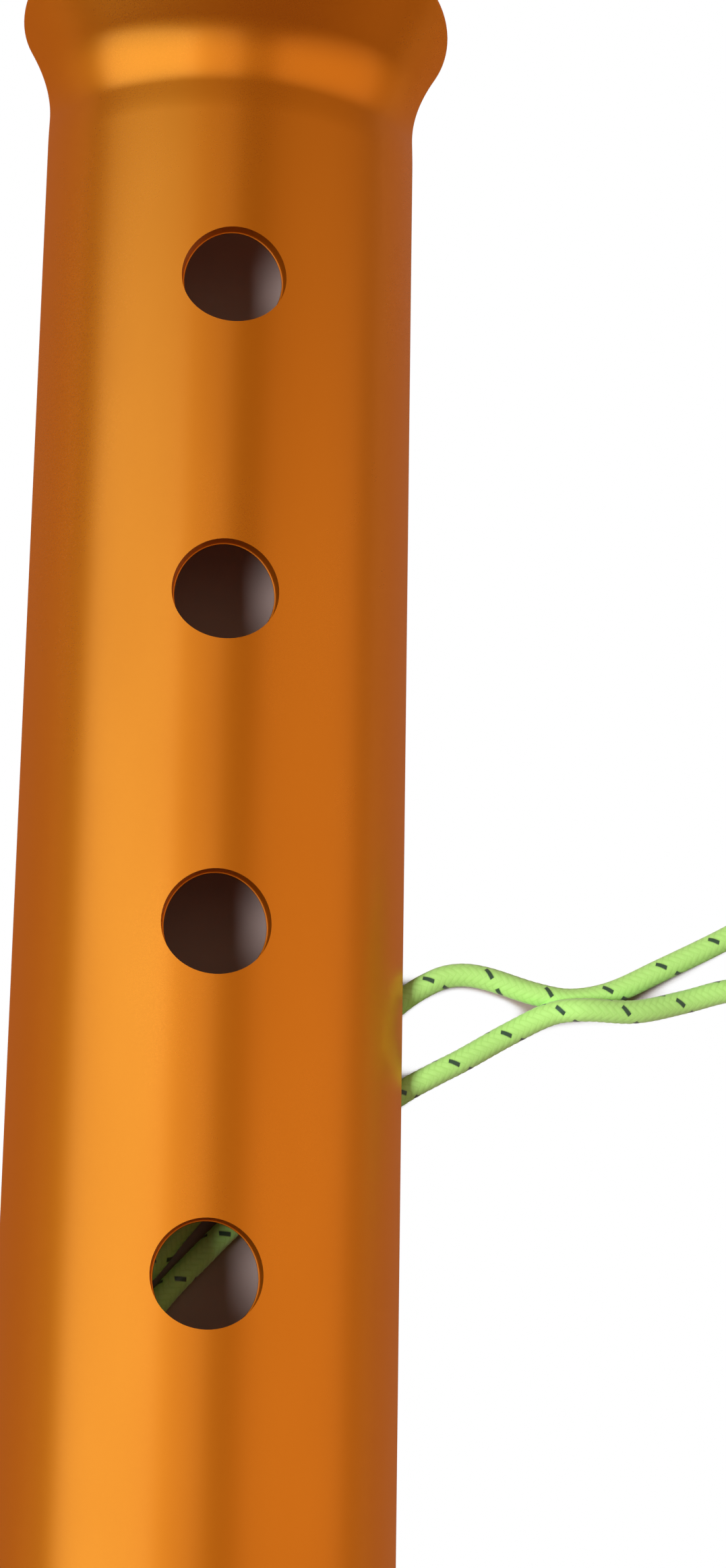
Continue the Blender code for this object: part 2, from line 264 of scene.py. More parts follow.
@dataclass(frozen=True)
class ReflectiveBraid:
    """Neon green braided cord with dark reflective tracer yarns and heat-sealed ends, and painted
    shade in the grooves between the yarns.
    """

    yarns: int = 8
    colour: Colour = (0.53, 0.98, 0.27)
    # Painted shade: this darker colour fills the grooves between the yarns, and it also tints the
    # darker fibres
    groove_shade_and_fibre_tone: Colour = (0.39, 0.81, 0.17)
    tracer: Colour = (0.03, 0.08, 0.04)
    sealed: Colour = (0.05, 0.12, 0.02)
    roughness: float = 0.72
    tracer_gloss: float = 0.3
    sealed_gloss: float = 0.35
    sheen: float = 0.25
    sheen_roughness: float = 0.5
    fibres_across: float = 9.0
    fibres_along: float = 16.0
    fibre_depth: float = 0.02 * MM
    fibre_strength: float = 0.35

    def make(self) -> bpy.types.Material:
        """Build the material on the cord's own UV map, lay by turn.

        Returns:
            The finished material.
        """
        nodes = Nodes("neon_reflective_braid")
        split = nodes.add("SeparateXYZ")
        nodes.join(nodes.add("UVMap", uv_map="braid").outputs[0], split.inputs[0])
        along, round_it = split.outputs[0], split.outputs[1]
        ahead = nodes.math("MULTIPLY", nodes.math("ADD", round_it, along), self.yarns)
        aback = nodes.math("MULTIPLY", nodes.math("SUBTRACT", round_it, along), self.yarns)
        ahead_part, aback_part = nodes.math("FRACT", ahead), nodes.math("FRACT", aback)
        ahead_yarn, aback_yarn = nodes.math("FLOOR", ahead), nodes.math("FLOOR", aback)
        cell = nodes.math("FLOORED_MODULO", nodes.math("ADD", ahead_yarn, aback_yarn), 4.0)
        on_top = nodes.math("LESS_THAN", cell, 1.5)
        under = nodes.math("SUBTRACT", 1.0, on_top)

        across = nodes.math("ADD", nodes.math("MULTIPLY", ahead_part, on_top),
                            nodes.math("MULTIPLY", aback_part, under))
        edge = nodes.math("MULTIPLY", nodes.math("ABSOLUTE", nodes.math("SUBTRACT", across, 0.5)),
                          2.0)
        # Painted shade: each yarn darkens towards its edges, as if shaded where it dips between its
        # neighbours
        gap = nodes.ramp(edge, 0.5, 1.0, 0.0, 0.55)
        fibres = nodes.add("CombineXYZ")
        nodes.join(nodes.math("MULTIPLY", across, self.fibres_across), fibres.inputs[0])
        nodes.join(nodes.math("MULTIPLY", along, self.fibres_along), fibres.inputs[1])
        strands = nodes.noise(fibres.outputs[0], 1.0, 2.0, 0.6)

        tracer = nodes.math("COMPARE", nodes.math("FLOORED_MODULO", aback_yarn,
                                                  float(self.yarns)), 0.0)
        marked = nodes.math("MULTIPLY", under, tracer)
        yarn = nodes.blend(gap, rgb(*self.colour), rgb(*self.groove_shade_and_fibre_tone))
        yarn = nodes.blend(nodes.ramp(strands, 0.35, 0.7, 0.3, 0.0), yarn, rgb(*self.groove_shade_and_fibre_tone))
        yarn = nodes.blend(nodes.math("MULTIPLY", marked, nodes.ramp(edge, 0.6, 0.9, 1.0, 0.1)),
                           yarn, rgb(*self.tracer))
        melt = nodes.add("Attribute", attribute_name="melt").outputs["Fac"]
        yarn = nodes.blend(melt, yarn, rgb(*self.sealed))

        shader = nodes.add("BsdfPrincipled")
        nodes.join(yarn, shader.inputs["Base Color"])
        woven = nodes.math("SUBTRACT", self.roughness,
                           nodes.math("MULTIPLY", marked, self.tracer_gloss))
        nodes.join(nodes.math("SUBTRACT", woven, nodes.math("MULTIPLY", melt, self.sealed_gloss)),
                   shader.inputs["Roughness"])
        nodes.join(self.sheen, shader.inputs["Sheen Weight"])
        nodes.join(self.sheen_roughness, shader.inputs["Sheen Roughness"])
        bump = nodes.add("Bump")
        nodes.join(self.fibre_strength, bump.inputs["Strength"])
        nodes.join(self.fibre_depth, bump.inputs["Distance"])
        nodes.join(strands, bump.inputs["Height"])
        nodes.join(bump.outputs[0], shader.inputs["Normal"])
        nodes.join(shader.outputs[0], nodes.output.inputs["Surface"])
        return nodes.material


@dataclass(frozen=True)
class PaleFloor:
    """A matt pale floor that the camera sees as white, except in the peg's own shade.

    Gloss sees little of the white, because the sheet's edges in the photo mirror a dim floor.
    """

    # Painted bounce light: the floor's warm tint stands in for orange light reflected onto it from
    # the peg
    colour: Colour = (0.42, 0.33, 0.31)
    gloss_share: float = 0.03
    shade_reach: float = 40.0 * MM
    shade_samples: int = 32
    shaded_below: float = 0.29
    open_above: float = 0.4

    def make(self) -> bpy.types.Material:
        """Build the material.

        Returns:
            The finished material.
        """
        nodes = Nodes("pale_floor")
        shader = nodes.add("BsdfDiffuse")
        nodes.join(rgb(*self.colour), shader.inputs["Color"])
        shade = nodes.add("AmbientOcclusion", samples=self.shade_samples)
        nodes.join(self.shade_reach, shade.inputs["Distance"])
        glow = nodes.add("Emission")
        path = nodes.add("LightPath")
        gloss = nodes.math("MULTIPLY", path.outputs["Is Glossy Ray"], self.gloss_share)
        seen = nodes.math("ADD", path.outputs["Is Camera Ray"],
                          nodes.math("ADD", gloss, path.outputs["Is Transmission Ray"]),
                          clamp=True)
        open_floor = nodes.ramp(shade.outputs["AO"], self.shaded_below, self.open_above, 0.0, 1.0)
        mix = nodes.add("MixShader")
        nodes.join(nodes.math("MULTIPLY", seen, open_floor), mix.inputs[0])
        nodes.join(shader.outputs[0], mix.inputs[1])
        nodes.join(glow.outputs[0], mix.inputs[2])
        nodes.join(mix.outputs[0], nodes.output.inputs["Surface"])
        return nodes.material


def new_object(name: str, shape: bmesh.types.BMesh,
               material: bpy.types.Material) -> bpy.types.Object:
    """Turn a bmesh into a smooth object of the scene.

    Args:
        name: the object's name.
        shape: the bmesh, which is used up.
        material: its material.

    Returns:
        The new object.
    """
    mesh = bpy.data.meshes.new(name)
    shape.to_mesh(mesh)
    shape.free()
    mesh.shade_smooth()
    mesh.materials.append(material)
    thing = bpy.data.objects.new(name, mesh)
    bpy.context.scene.collection.objects.link(thing)
    return thing


@dataclass
class Channel:
    """The drilled sheet, shaped flat, then bent round its long axis and flared at its head.

    The flat blank lies with its outer face up. Its y is the place along the peg and its x the
    distance round the outer face from the crown.
    """

    length: float = 300.0 * MM
    width: float = 24.7 * MM
    depth: float = 7.0 * MM
    sheet: float = 1.0 * MM
    overhang: float = 5.3 * MM
    flare_angle: float = math.radians(37.0)
    flare_fillet: float = 7.0 * MM
    neck: float = 0.07 * MM
    neck_place: float = 142.0 * MM
    neck_reach: float = 3.5 * MM
    corner_length: float = 4.85 * MM
    corner_share: float = 0.8
    hole_diameter: float = 7.0 * MM
    hole_pitch: float = 22.0 * MM
    holes: int = 11
    head_to_hole: float = 23.5 * MM
    taper: float = 45.0 * MM
    nose: float = 3.5 * MM
    rim: float = 0.18 * MM
    hole_rim: float = 0.1 * MM
    rim_steps: int = 4
    hole_steps: int = 64
    corner_steps: int = 28
    tip_steps: int = 12
    lean_height: float = 1.85 * MM
    slice_width: float = 0.42 * MM
    flare_slice: float = 0.3 * MM

    def __post_init__(self) -> None:
        """Work out the arc and the lean from the sizes."""
        self.outer = (self.width ** 2 / 4 + self.depth ** 2) / (2 * self.depth)
        self.inner = self.outer - self.sheet
        self.half_angle = math.asin(self.width / 2 / self.outer)
        self.centre = -self.inner * math.cos(self.half_angle)
        self.foot = self.inner * math.sin(self.half_angle)
        self.lean = math.asin(self.lean_height / (2 * self.foot))
        head = self.outer + self.overhang
        self.shift = (self.centre + head * math.cos(self.half_angle)) * math.sin(self.lean)
        rise = self.flare_fillet * (1 - math.cos(self.flare_angle))
        self.cone_start = self.length / 2 - (self.overhang - rise) / math.tan(self.flare_angle)
        self.fillet_start = self.cone_start - self.flare_fillet * math.sin(self.flare_angle)

    def placed(self, point: Vector) -> Vector:
        """Move a point from the upright peg's frame to where the leaning peg is."""
        turned = Matrix.Rotation(-self.lean, 3, "Y") @ point
        return turned + Vector((self.shift, 0, self.foot * math.sin(self.lean)))

    def flare(self, along: float) -> tuple[float, float]:
        """How far the outer face stands out at a place along the peg.

        Args:
            along: the place along the peg.

        Returns:
            The distance, and the face's slope there as an angle.
        """
        out, slope = 0.0, 0.0
        if along > self.cone_start:
            rise = self.flare_fillet * (1 - math.cos(self.flare_angle))
            slope = math.tan(self.flare_angle)
            out = rise + (along - self.cone_start) * slope
        elif along > self.fillet_start:
            angle = math.asin((along - self.fillet_start) / self.flare_fillet)
            out, slope = self.flare_fillet * (1 - math.cos(angle)), math.tan(angle)
        past = (along - self.neck_place) / self.neck_reach
        if abs(past) < 1:
            out -= self.neck / 2 * (1 + math.cos(math.pi * past))
            slope += self.neck / 2 * math.pi / self.neck_reach * math.sin(math.pi * past)
        return out, math.atan(slope)

    def bent(self, flat: Vector) -> tuple[Vector, Vector]:
        """Bend a point of the flat blank.

        Args:
            flat: the point, with its height at most 0, the outer face's.

        Returns:
            Where it goes, and the direction square to the sheet there.
        """
        out, slope = self.flare(flat.y)
        angle = flat.x / self.outer
        over = Vector((math.sin(angle), 0, math.cos(angle)))
        square = over * math.cos(slope) - Vector((0, math.sin(slope), 0))
        point = over * (self.outer + out) + Vector((0, flat.y, self.centre)) + square * flat.z
        return self.placed(point), self.placed(square) - self.placed(Vector())

    def unrolled(self, across: float) -> float:
        """How far round the outer face a place is that lies across by this much."""
        return self.outer * math.asin(across / self.outer)

    def blank_outline(self) -> list[Vector]:
        """The flat blank's outline, from the head's right corner round to its left one.

        Returns:
            Its points, in order.
        """
        half, reach = self.width / 2, self.taper - self.nose
        touch = math.atan2(half, reach) + math.acos(self.nose / math.hypot(half, reach))
        tip = -self.length / 2
        side_of_tip: list[tuple[float, float]] = []
        steps = self.tip_steps
        start = (self.nose * math.sin(touch), tip + self.nose + self.nose * math.cos(touch))
        for step in range(steps):
            share = step / steps
            side_of_tip.append((half + (start[0] - half) * share,
                                tip + self.taper + (start[1] - tip - self.taper) * share))
        for step in range(steps):
            angle = touch + (math.pi - touch) * step / steps
            side_of_tip.append((self.nose * math.sin(angle),
                                tip + self.nose + self.nose * math.cos(angle)))
        points: dict[Side, list[Vector]] = {}
        for side in Side:
            line = self.corner(side)
            line += [Vector((side.value * self.unrolled(x), y, 0)) for x, y in side_of_tip]
            points[side] = line
        return points[Side.RIGHT] + [Vector((0, tip, 0))] + points[Side.LEFT][::-1]

    def corner(self, side: Side) -> list[Vector]:
        """The rounded corner of the head on one side of the blank.

        Args:
            side: which one.

        Returns:
            Its points, from the end face to the side edge.
        """
        edge = self.outer * self.half_angle
        points = []
        for step in range(self.corner_steps + 1):
            angle = math.pi / 2 * step / self.corner_steps
            across = edge * (1 - self.corner_share * (1 - math.sin(angle)))
            along = self.length / 2 - self.corner_length * (1 - math.cos(angle))
            points.append(Vector((side.value * across, along, 0)))
        return points

    def hole_outline(self, number: int) -> list[Vector]:
        """The outline of one hole in the flat blank.

        Args:
            number: the hole, counted from the head.

        Returns:
            Its points, in order, turning the same way as the blank's.
        """
        middle = self.length / 2 - self.head_to_hole - number * self.hole_pitch
        points = []
        for step in range(self.hole_steps):
            angle = math.tau * step / self.hole_steps
            across = self.hole_diameter / 2 * math.sin(angle)
            points.append(Vector((self.unrolled(across),
                                  middle + self.hole_diameter / 2 * math.cos(angle), 0)))
        return points

    def blank(self) -> bmesh.types.BMesh:
        """The flat blank with its holes and the rims of both.

        Returns:
            A closed bmesh of it.
        """
        shape = bmesh.new()
        outlines = [(self.blank_outline(), self.rim)]
        outlines += [(self.hole_outline(number), self.hole_rim) for number in range(self.holes)]
        top: list[bmesh.types.BMEdge] = []
        bottom: list[bmesh.types.BMEdge] = []
        for points, rim in outlines:
            first, last = self.rim_loops(shape, points, rim)
            top += first
            bottom += last
        for edges in (top, bottom):
            bmesh.ops.triangle_fill(shape, use_beauty=True, use_dissolve=False, edges=edges)
        bmesh.ops.recalc_face_normals(shape, faces=shape.faces)
        return shape

    def rim_loops(self, shape: bmesh.types.BMesh, points: list[Vector],
                  rim: float) -> tuple[list[bmesh.types.BMEdge], list[bmesh.types.BMEdge]]:
        """Draw one outline at the outer face and extrude it over its rim to the inner face.

        The two faces end inside the outline by the rim. So the blank's own edge is rounded, and
        a hole's edges have a thin lip.

        Args:
            shape: the bmesh to draw in.
            points: the outline, which turns clockwise as seen from the outer face.
            rim: how far inside the outline the two faces end.

        Returns:
            The edges on the outer face, and those on the inner face.
        """
        count = len(points)
        outward = []
        for number in range(count):
            heading = (points[(number + 1) % count] - points[number - 1]).normalized()
            outward.append(Vector((-heading.y, heading.x, 0)))
        levels = [(rim * (1 - math.sin(turn)), -rim * (1 - math.cos(turn)))
                  for turn in (math.pi / 2 * step / self.rim_steps
                               for step in range(self.rim_steps + 1))]
        levels += [(inset, -self.sheet - drop) for inset, drop in levels[::-1]]
        verts = [shape.verts.new(point - direction * levels[0][0])
                 for point, direction in zip(points, outward)]
        edges = [shape.edges.new((verts[number], verts[(number + 1) % count]))
                 for number in range(count)]
        first = edges
        for inset, drop in levels[1:]:
            made = bmesh.ops.extrude_edge_only(shape, edges=edges)["geom"]
            fresh = [item for item in made if isinstance(item, bmesh.types.BMVert)]
            edges = [item for item in made if isinstance(item, bmesh.types.BMEdge)
                     and all(vert in fresh for vert in item.verts)]
            for vert, point, direction in zip(fresh, points, outward):
                vert.co = point - direction * inset + Vector((0, 0, drop))
        return first, edges

    def sliced(self, shape: bmesh.types.BMesh) -> None:
        """Cut the blank into narrow strips, so that it can bend, and finer at the flare.

        Args:
            shape: the blank.
        """
        half = self.outer * self.half_angle
        strips = int(2 * half / self.slice_width)
        cuts = [(Vector((-half + 2 * half * step / strips, 0, 0)), Vector((1, 0, 0)))
                for step in range(1, strips)]
        start = self.neck_place - self.neck_reach
        rows = int((self.length / 2 - start) / self.flare_slice)
        cuts += [(Vector((0, start + self.flare_slice * step, 0)), Vector((0, 1, 0)))
                 for step in range(rows + 1)]
        for place, normal in cuts:
            geometry = list(shape.verts) + list(shape.edges) + list(shape.faces)
            made = bmesh.ops.bisect_plane(shape, geom=geometry, dist=ON_FACE, plane_co=place,
                                          plane_no=normal)["geom_cut"]
            for item in made:
                if isinstance(item, bmesh.types.BMEdge):
                    item.seam = True

        # The filling's own edges go, so that each strip is one clean face between two cuts
        shape.normal_update()
        filling = [edge for edge in shape.edges if not edge.seam and len(edge.link_faces) == 2
                   and all(abs(face.normal.z) > LEVEL for face in edge.link_faces)]
        bmesh.ops.dissolve_edges(shape, edges=filling, use_verts=False, use_face_split=False)
        needless = [vert for vert in shape.verts if len(vert.link_edges) == 2]
        bmesh.ops.dissolve_verts(shape, verts=needless, use_face_split=False)

    def build(self, material: bpy.types.Material) -> bpy.types.Object:
        """Make the whole peg.

        Args:
            material: its finish.

        Returns:
            The peg, where the frame has it.
        """
        shape = self.blank()
        self.sliced(shape)
        normals = []
        cut = shape.verts.layers.float.new("cut")
        for vert in shape.verts:
            flat = vert.co.copy()
            vert.co, square = self.bent(flat)
            on_outer, on_inner = flat.z > -ON_FACE, flat.z < -self.sheet + ON_FACE
            vert[cut] = 0.0 if on_outer else 0.5 if on_inner else 1.0
            normals.append(square if on_outer else -square if on_inner else Vector((0, 0, 0)))
        bmesh.ops.recalc_face_normals(shape, faces=shape.faces)
        thing = new_object("peg_sheet", shape, material)
        thing.data.normals_split_custom_set_from_vertices(normals)
        return thing


@dataclass
class Cord:
    """The braided cord, from one sealed end to the other, as tubes with a real braid on them."""

    diameter: float = 1.5 * MM
    ground_gap: float = 0.05 * MM
    part_gap: float = 0.3 * MM
    lay: float = 4.0 * MM
    relief: float = 0.045 * MM
    arch_share: float = 0.4
    melted_height: float = 0.4
    ring_step: float = 0.125 * MM
    round_steps: int = 40
    yarns: int = 8
    sealed_length: float = 0.9 * MM
    sealed_size: float = 0.25
    shift: float = 0.0

    def smooth(self, route: list[Triple]) -> tuple[list[Vector], list[int]]:
        """Dense points on the same smooth curve as the frame's cord follows.

        Args:
            route: points across, along and above a lying cord's middle, in millimetres.

        Returns:
            The dense points, and the places of the route's points among them.
        """
        lying = self.diameter / 2 + self.ground_gap
        points = [Vector((x * MM + self.shift, y * MM, lift * MM + lying)) for x, y, lift in route]
        before, after = [points[0]] + points[:-1], points[1:] + [points[-1]]
        headings = [(b - a).normalized() for a, b in zip(before, after)]
        dense = 16
        line = [points[0]]
        for number in range(len(points) - 1):
            start, end = points[number], points[number + 1]
            reach = (end - start).length / 3
            handles = (start + headings[number] * reach, end - headings[number + 1] * reach)
            line += interpolate_bezier(start, *handles, end, dense + 1)[1:]
        return line, [number * dense for number in range(len(points))]

    def even(self, line: list[Vector]) -> list[Vector]:
        """Space a line's points again, a ring apart.

        Args:
            line: the line.

        Returns:
            The evenly spaced points.
        """
        far = [0.0]
        for a, b in zip(line, line[1:]):
            far.append(far[-1] + (b - a).length)
        count = max(2, round(far[-1] / self.ring_step))
        points, number = [], 1
        for step in range(count + 1):
            distance = far[-1] * step / count
            while number < len(line) - 1 and far[number] < distance:
                number += 1
            share = (distance - far[number - 1]) / (far[number] - far[number - 1])
            points.append(line[number - 1].lerp(line[number], share))
        return points

    def height(self, along: float, turn: float) -> float:
        """How high the braid stands at a place on the cord.

        Args:
            along: the distance along the cord, in lays.
            turn: the place round it, in turns.

        Returns:
            The height, from 0 between yarns to 1 on top of a yarn.
        """
        ahead, aback = (turn + along) * self.yarns, (turn - along) * self.yarns
        ahead_part, aback_part = ahead % 1.0, aback % 1.0
        cell = (math.floor(ahead) + math.floor(aback)) % 4
        if cell < 2:
            across, along_yarn = ahead_part, (cell + aback_part) / 2
        else:
            across, along_yarn = aback_part, (cell - 2 + ahead_part) / 2
        crown = math.sqrt(max(0.0, 1 - (2 * across - 1) ** 2))
        return (1 - self.arch_share) * crown + self.arch_share * math.sin(math.pi * along_yarn)

    def tube(self, name: str, line: list[Vector], start: float, material: bpy.types.Material,
             seal_start: bool = False, seal_end: bool = False) -> bpy.types.Object:
        """A braided tube along a line.

        Args:
            name: the piece's name.
            line: the points that it follows.
            start: how far along the whole cord it starts, so that the braid goes on over it.
            material: its finish.
            seal_start: whether its first end is melted round.
            seal_end: whether its last end is.

        Returns:
            The piece.
        """
        points = self.even(line)
        count = len(points) - 1
        total = count * (points[1] - points[0]).length
        shape = bmesh.new()
        bmesh.ops.create_grid(shape, x_segments=count, y_segments=self.round_steps, size=1.0,
                              calc_uvs=False)
        frames = self.frames(points)
        melts = shape.verts.layers.float.new("melt")
        layer = shape.loops.layers.uv.new("braid")
        # Whole lays that change nothing but keep the whole map positive
        spare_lays = 2.0
        for face in shape.faces:
            for loop in face.loops:
                share = (loop.vert.co.x + 1) / 2
                loop[layer].uv = ((start + share * total) / self.lay + spare_lays,
                                  (loop.vert.co.y + 1) / 2)
        for vert in shape.verts:
            ring = round((vert.co.x + 1) / 2 * count)
            turn = (vert.co.y + 1) / 2
            far = total * ring / count
            melt, size = self.seal(far if seal_start else total, total - far if seal_end else total)
            along = (start + far) / self.lay
            height = self.height(along, turn) * (1 - melt) + self.melted_height * melt
            radius = (self.diameter / 2 - self.relief * (1 - height)) * size
            side, up = frames[ring]
            angle = math.tau * turn
            vert.co = points[ring] + (side * math.cos(angle) + up * math.sin(angle)) * radius
            vert[melts] = melt
        bmesh.ops.remove_doubles(shape, verts=shape.verts, dist=1e-6)
        bmesh.ops.holes_fill(shape, edges=[edge for edge in shape.edges if edge.is_boundary])
        bmesh.ops.recalc_face_normals(shape, faces=shape.faces)
        return new_object(name, shape, material)

    def seal(self, from_start: float, to_end: float) -> tuple[float, float]:
        """How a sealed end changes the cord.

        Args:
            from_start: the distance to the first end, or any length where it isn't sealed.
            to_end: the distance to the last end, likewise.

        Returns:
            How melted it is, from 0 to 1, and its size as a share of the whole diameter.
        """
        near = min(from_start, to_end)
        if near > self.sealed_length:
            return 0.0, 1.0
        share = near / self.sealed_length
        swell = math.sqrt(1 - (1 - share) ** 2)
        return 1 - share ** 3, self.sealed_size + (1 - self.sealed_size) * swell

    def frames(self, points: list[Vector]) -> list[tuple[Vector, Vector]]:
        """Two directions across the line at each point, that don't twist along it.

        Args:
            points: the line.

        Returns:
            A pair of directions for each point.
        """
        heading = (points[1] - points[0]).normalized()
        side = heading.cross(Vector((0, 0, 1)))
        if side.length < 0.1:
            side = heading.cross(Vector((0, 1, 0)))
        side.normalize()
        pairs = []
        for number, _ in enumerate(points):
            ahead = points[min(number + 1, len(points) - 1)] - points[max(number - 1, 0)]
            ahead.normalize()
            turn: Quaternion = heading.rotation_difference(ahead)
            side = (turn @ side).normalized()
            heading = ahead
            pairs.append((side, heading.cross(side).normalized()))
        return pairs


LONG_SIDE = [
    (42.5, 98.9, 0.0), (46.4, 98.9, 0.25), (49.6, 98.2, 1.35), (52.6, 97.2, 2.6),
    (55.0, 96.95, 2.8), (58.0, 96.95, 2.8), (61.0, 96.95, 2.8), (63.6, 97.15, 2.6),
    (67.4, 97.6, 1.25), (71.5, 97.6, 0.15), (76.5, 96.8, 0.0), (81.6, 94.4, 0.0),
    (84.9, 90.4, 0.0), (84.9, 85.6, 0.0), (81.2, 82.0, 0.0), (74.5, 80.6, 0.0),
    (66.0, 80.8, 0.0), (56.5, 82.2, 0.0), (47.0, 83.7, 0.0), (39.5, 83.9, 0.0),
    (33.7, 82.73, 0.0), (30.9, 81.79, 0.05), (27.47, 80.69, 0.75), (24.08, 80.43, 1.25),
    (22.12, 80.23, 0.7), (19.55, 78.94, 0.05), (16.34, 76.9, 0.0), (14.82, 76.01, 0.0),
    (12.55, 74.58, 0.0), (9.3, 72.0, 0.0), (6.2, 69.4, 0.0),
]
THROUGH_PEG = [
    (3.9, 67.35, 0.0), (1.79, 65.22, 0.0), (-0.11, 63.12, 0.0), (-1.93, 61.02, 0.0),
    (-3.0, 59.4, 0.0), (-3.6, 57.5, 0.0), (-3.75, 55.2, 0.0), (-3.4, 52.8, 0.0),
    (-2.4, 49.8, 0.0), (-1.4, 47.2, 0.1), (-0.8, 44.8, 0.7), (-0.6, 42.8, 1.9),
    (-0.6, 41.1, 3.8), (-0.6, 39.5, 5.9), (-0.6, 37.6, 7.75), (-0.6, 35.0, 8.7),
    (-0.6, 31.5, 8.85), (-0.6, 27.5, 8.85), (-0.6, 23.5, 8.85), (-0.6, 20.0, 8.7),
    (-0.6, 17.4, 7.75), (-0.6, 15.5, 5.9), (-0.6, 13.9, 3.8), (-0.7, 12.2, 1.9),
    (-1.0, 10.2, 0.6), (-1.9, 8.0, 0.05), (-3.9, 6.4, 0.0), (-6.2, 6.9, 0.0),
    (-7.6, 9.3, 0.0), (-8.0, 13.0, 0.0), (-8.0, 22.0, 0.0), (-8.0, 34.0, 0.0),
    (-8.0, 44.0, 0.0), (-7.5, 51.0, 0.0), (-6.2, 57.0, 0.0), (-4.5, 60.6, 0.0),
    (-2.66, 62.99, 0.0), (-1.93, 64.03, 0.0), (-1.18, 65.06, 0.0), (1.2, 68.0, 0.0),
]
SHORT_SIDE = [
    (3.4, 70.5, 0.0), (6.2, 73.8, 0.0), (9.3, 77.4, 0.0), (12.48, 80.58, 0.0),
    (14.77, 82.13, 0.0), (16.3, 82.55, 0.0), (17.92, 82.44, 0.0), (21.13, 81.64, 0.0),
    (23.42, 81.4, 0.0), (26.03, 82.04, 0.0), (29.29, 83.77, 0.0), (33.75, 86.28, 0.0),
    (38.5, 89.3, 0.0), (43.2, 92.1, 0.1), (47.6, 94.0, 0.9), (51.4, 94.9, 2.4),
    (55.0, 95.05, 2.8), (58.0, 95.05, 2.8), (61.0, 95.05, 2.8), (63.8, 94.8, 2.4),
    (67.0, 93.9, 1.1), (70.2, 92.7, 0.15), (73.6, 91.4, 0.0),
]


@dataclass
class CordLoop:
    """The cord's three stretches on one curve, and where they leave the peg.

    Each outer stretch's braid starts a little later, so that its tracers lie as in the photo.
    """

    cord: Cord
    routes: dict[Stretch, list[Triple]] = field(default_factory=lambda: {
        Stretch.LONG_SIDE: LONG_SIDE, Stretch.THROUGH_PEG: THROUGH_PEG,
        Stretch.SHORT_SIDE: SHORT_SIDE})
    rings_between: int = 8
    long_phase: float = 1.35 * MM
    short_phase: float = 1.77 * MM
    long_exit: Triple = (12.8 * MM, 74.6 * MM, 0.8 * MM)
    short_exit: Triple = (12.7 * MM, 80.6 * MM, 0.8 * MM)

    def lines(self) -> dict[Stretch, tuple[list[Vector], float]]:
        """Part the whole cord's line into its stretches.

        Returns:
            The line of each stretch, and how far along the whole cord it starts.
        """
        line, places = self.cord.smooth([point for route in self.routes.values()
                                         for point in route])
        far = [0.0]
        for a, b in zip(line, line[1:]):
            far.append(far[-1] + (b - a).length)
        ends = [0]
        count = 0
        for route in self.routes.values():
            count += len(route)
            ends.append(places[count - 1])
        found: dict[Stretch, tuple[list[Vector], float]] = {}
        for stretch, start, end in zip(Stretch, ends, ends[1:]):
            gap = self.cord.part_gap if start else 0.0
            first = next(n for n in range(start, end) if far[n] - far[start] >= gap)
            found[stretch] = (line[first:end + 1], far[first])
        return found

    def build(self, material: bpy.types.Material, knot: list[bpy.types.Object]) -> None:
        """Args:
            material: their finish.
            knot: the pieces of the knot, which is on both outer stretches. Not used.
        """
        phases = {Stretch.LONG_SIDE: self.long_phase, Stretch.SHORT_SIDE: self.short_phase}
        for stretch, (line, start) in self.lines().items():
            shown = start - phases.get(stretch, 0.0)
            piece = self.cord.tube(stretch.value + "_braid", line, shown, material,
                                   seal_start=stretch is Stretch.LONG_SIDE,
                                   seal_end=stretch is Stretch.SHORT_SIDE)
            path = self.cord.even(line)[::self.rings_between]
            path.append(line[-1])
            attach(piece, "root")
            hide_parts(stretch.value)
            if stretch is Stretch.LONG_SIDE:
                path.reverse()


@dataclass
class JoiningKnot:
    """The knot of the cord's two ends: each is wound round the other, three turns a side."""

    cord: Cord
    centre: Triple = (58.0 * MM, 96.0 * MM, 3.6 * MM)
    wrap_radius: float = 2.6 * MM
    run_offset: float = 0.95 * MM
    wraps: float = 3.0
    lead_turns: float = 0.35
    closeness: float = 0.92
    steps: int = 240

    def winding(self, side: Side) -> list[Vector]:
        """The line of the wraps on one side of the knot, from its middle outwards.

        Args:
            side: which one.

        Returns:
            Its points.
        """
        middle = Vector(self.centre) + Vector((self.cord.shift, 0, 0))
        pitch = self.cord.diameter
        points = []
        for step in range(self.steps + 1):
            share = step / self.steps
            turn = self.wraps * share
            lead = min(1.0, share * self.wraps / self.lead_turns,
                       (1 - share) * self.wraps / self.lead_turns)
            ease = lead * lead * (3 - 2 * lead)
            radius = self.run_offset + (self.wrap_radius - self.run_offset) * ease
            angle = math.tau * turn
            along = side.value * (pitch / 2 + pitch * max(0.0, turn - 0.5) * self.closeness)
            points.append(middle + Vector((along, side.value * radius * math.cos(angle),
                                           radius * math.sin(angle))))
        return points

    def build(self, material: bpy.types.Material) -> list[bpy.types.Object]:
        """Make the wraps on both sides.

        Args:
            material: the cord's finish.

        Returns:
            The two pieces.
        """
        pieces = []
        for side in Side:
            piece = self.cord.tube("knot_wraps_" + side.name.lower(), self.winding(side),
                                   0.0, material)
            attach(piece, "root")
            pieces.append(piece)
            LOG.info("%s: %.0f turns", piece.name, self.wraps)
        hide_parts("joining_knot")
        return pieces


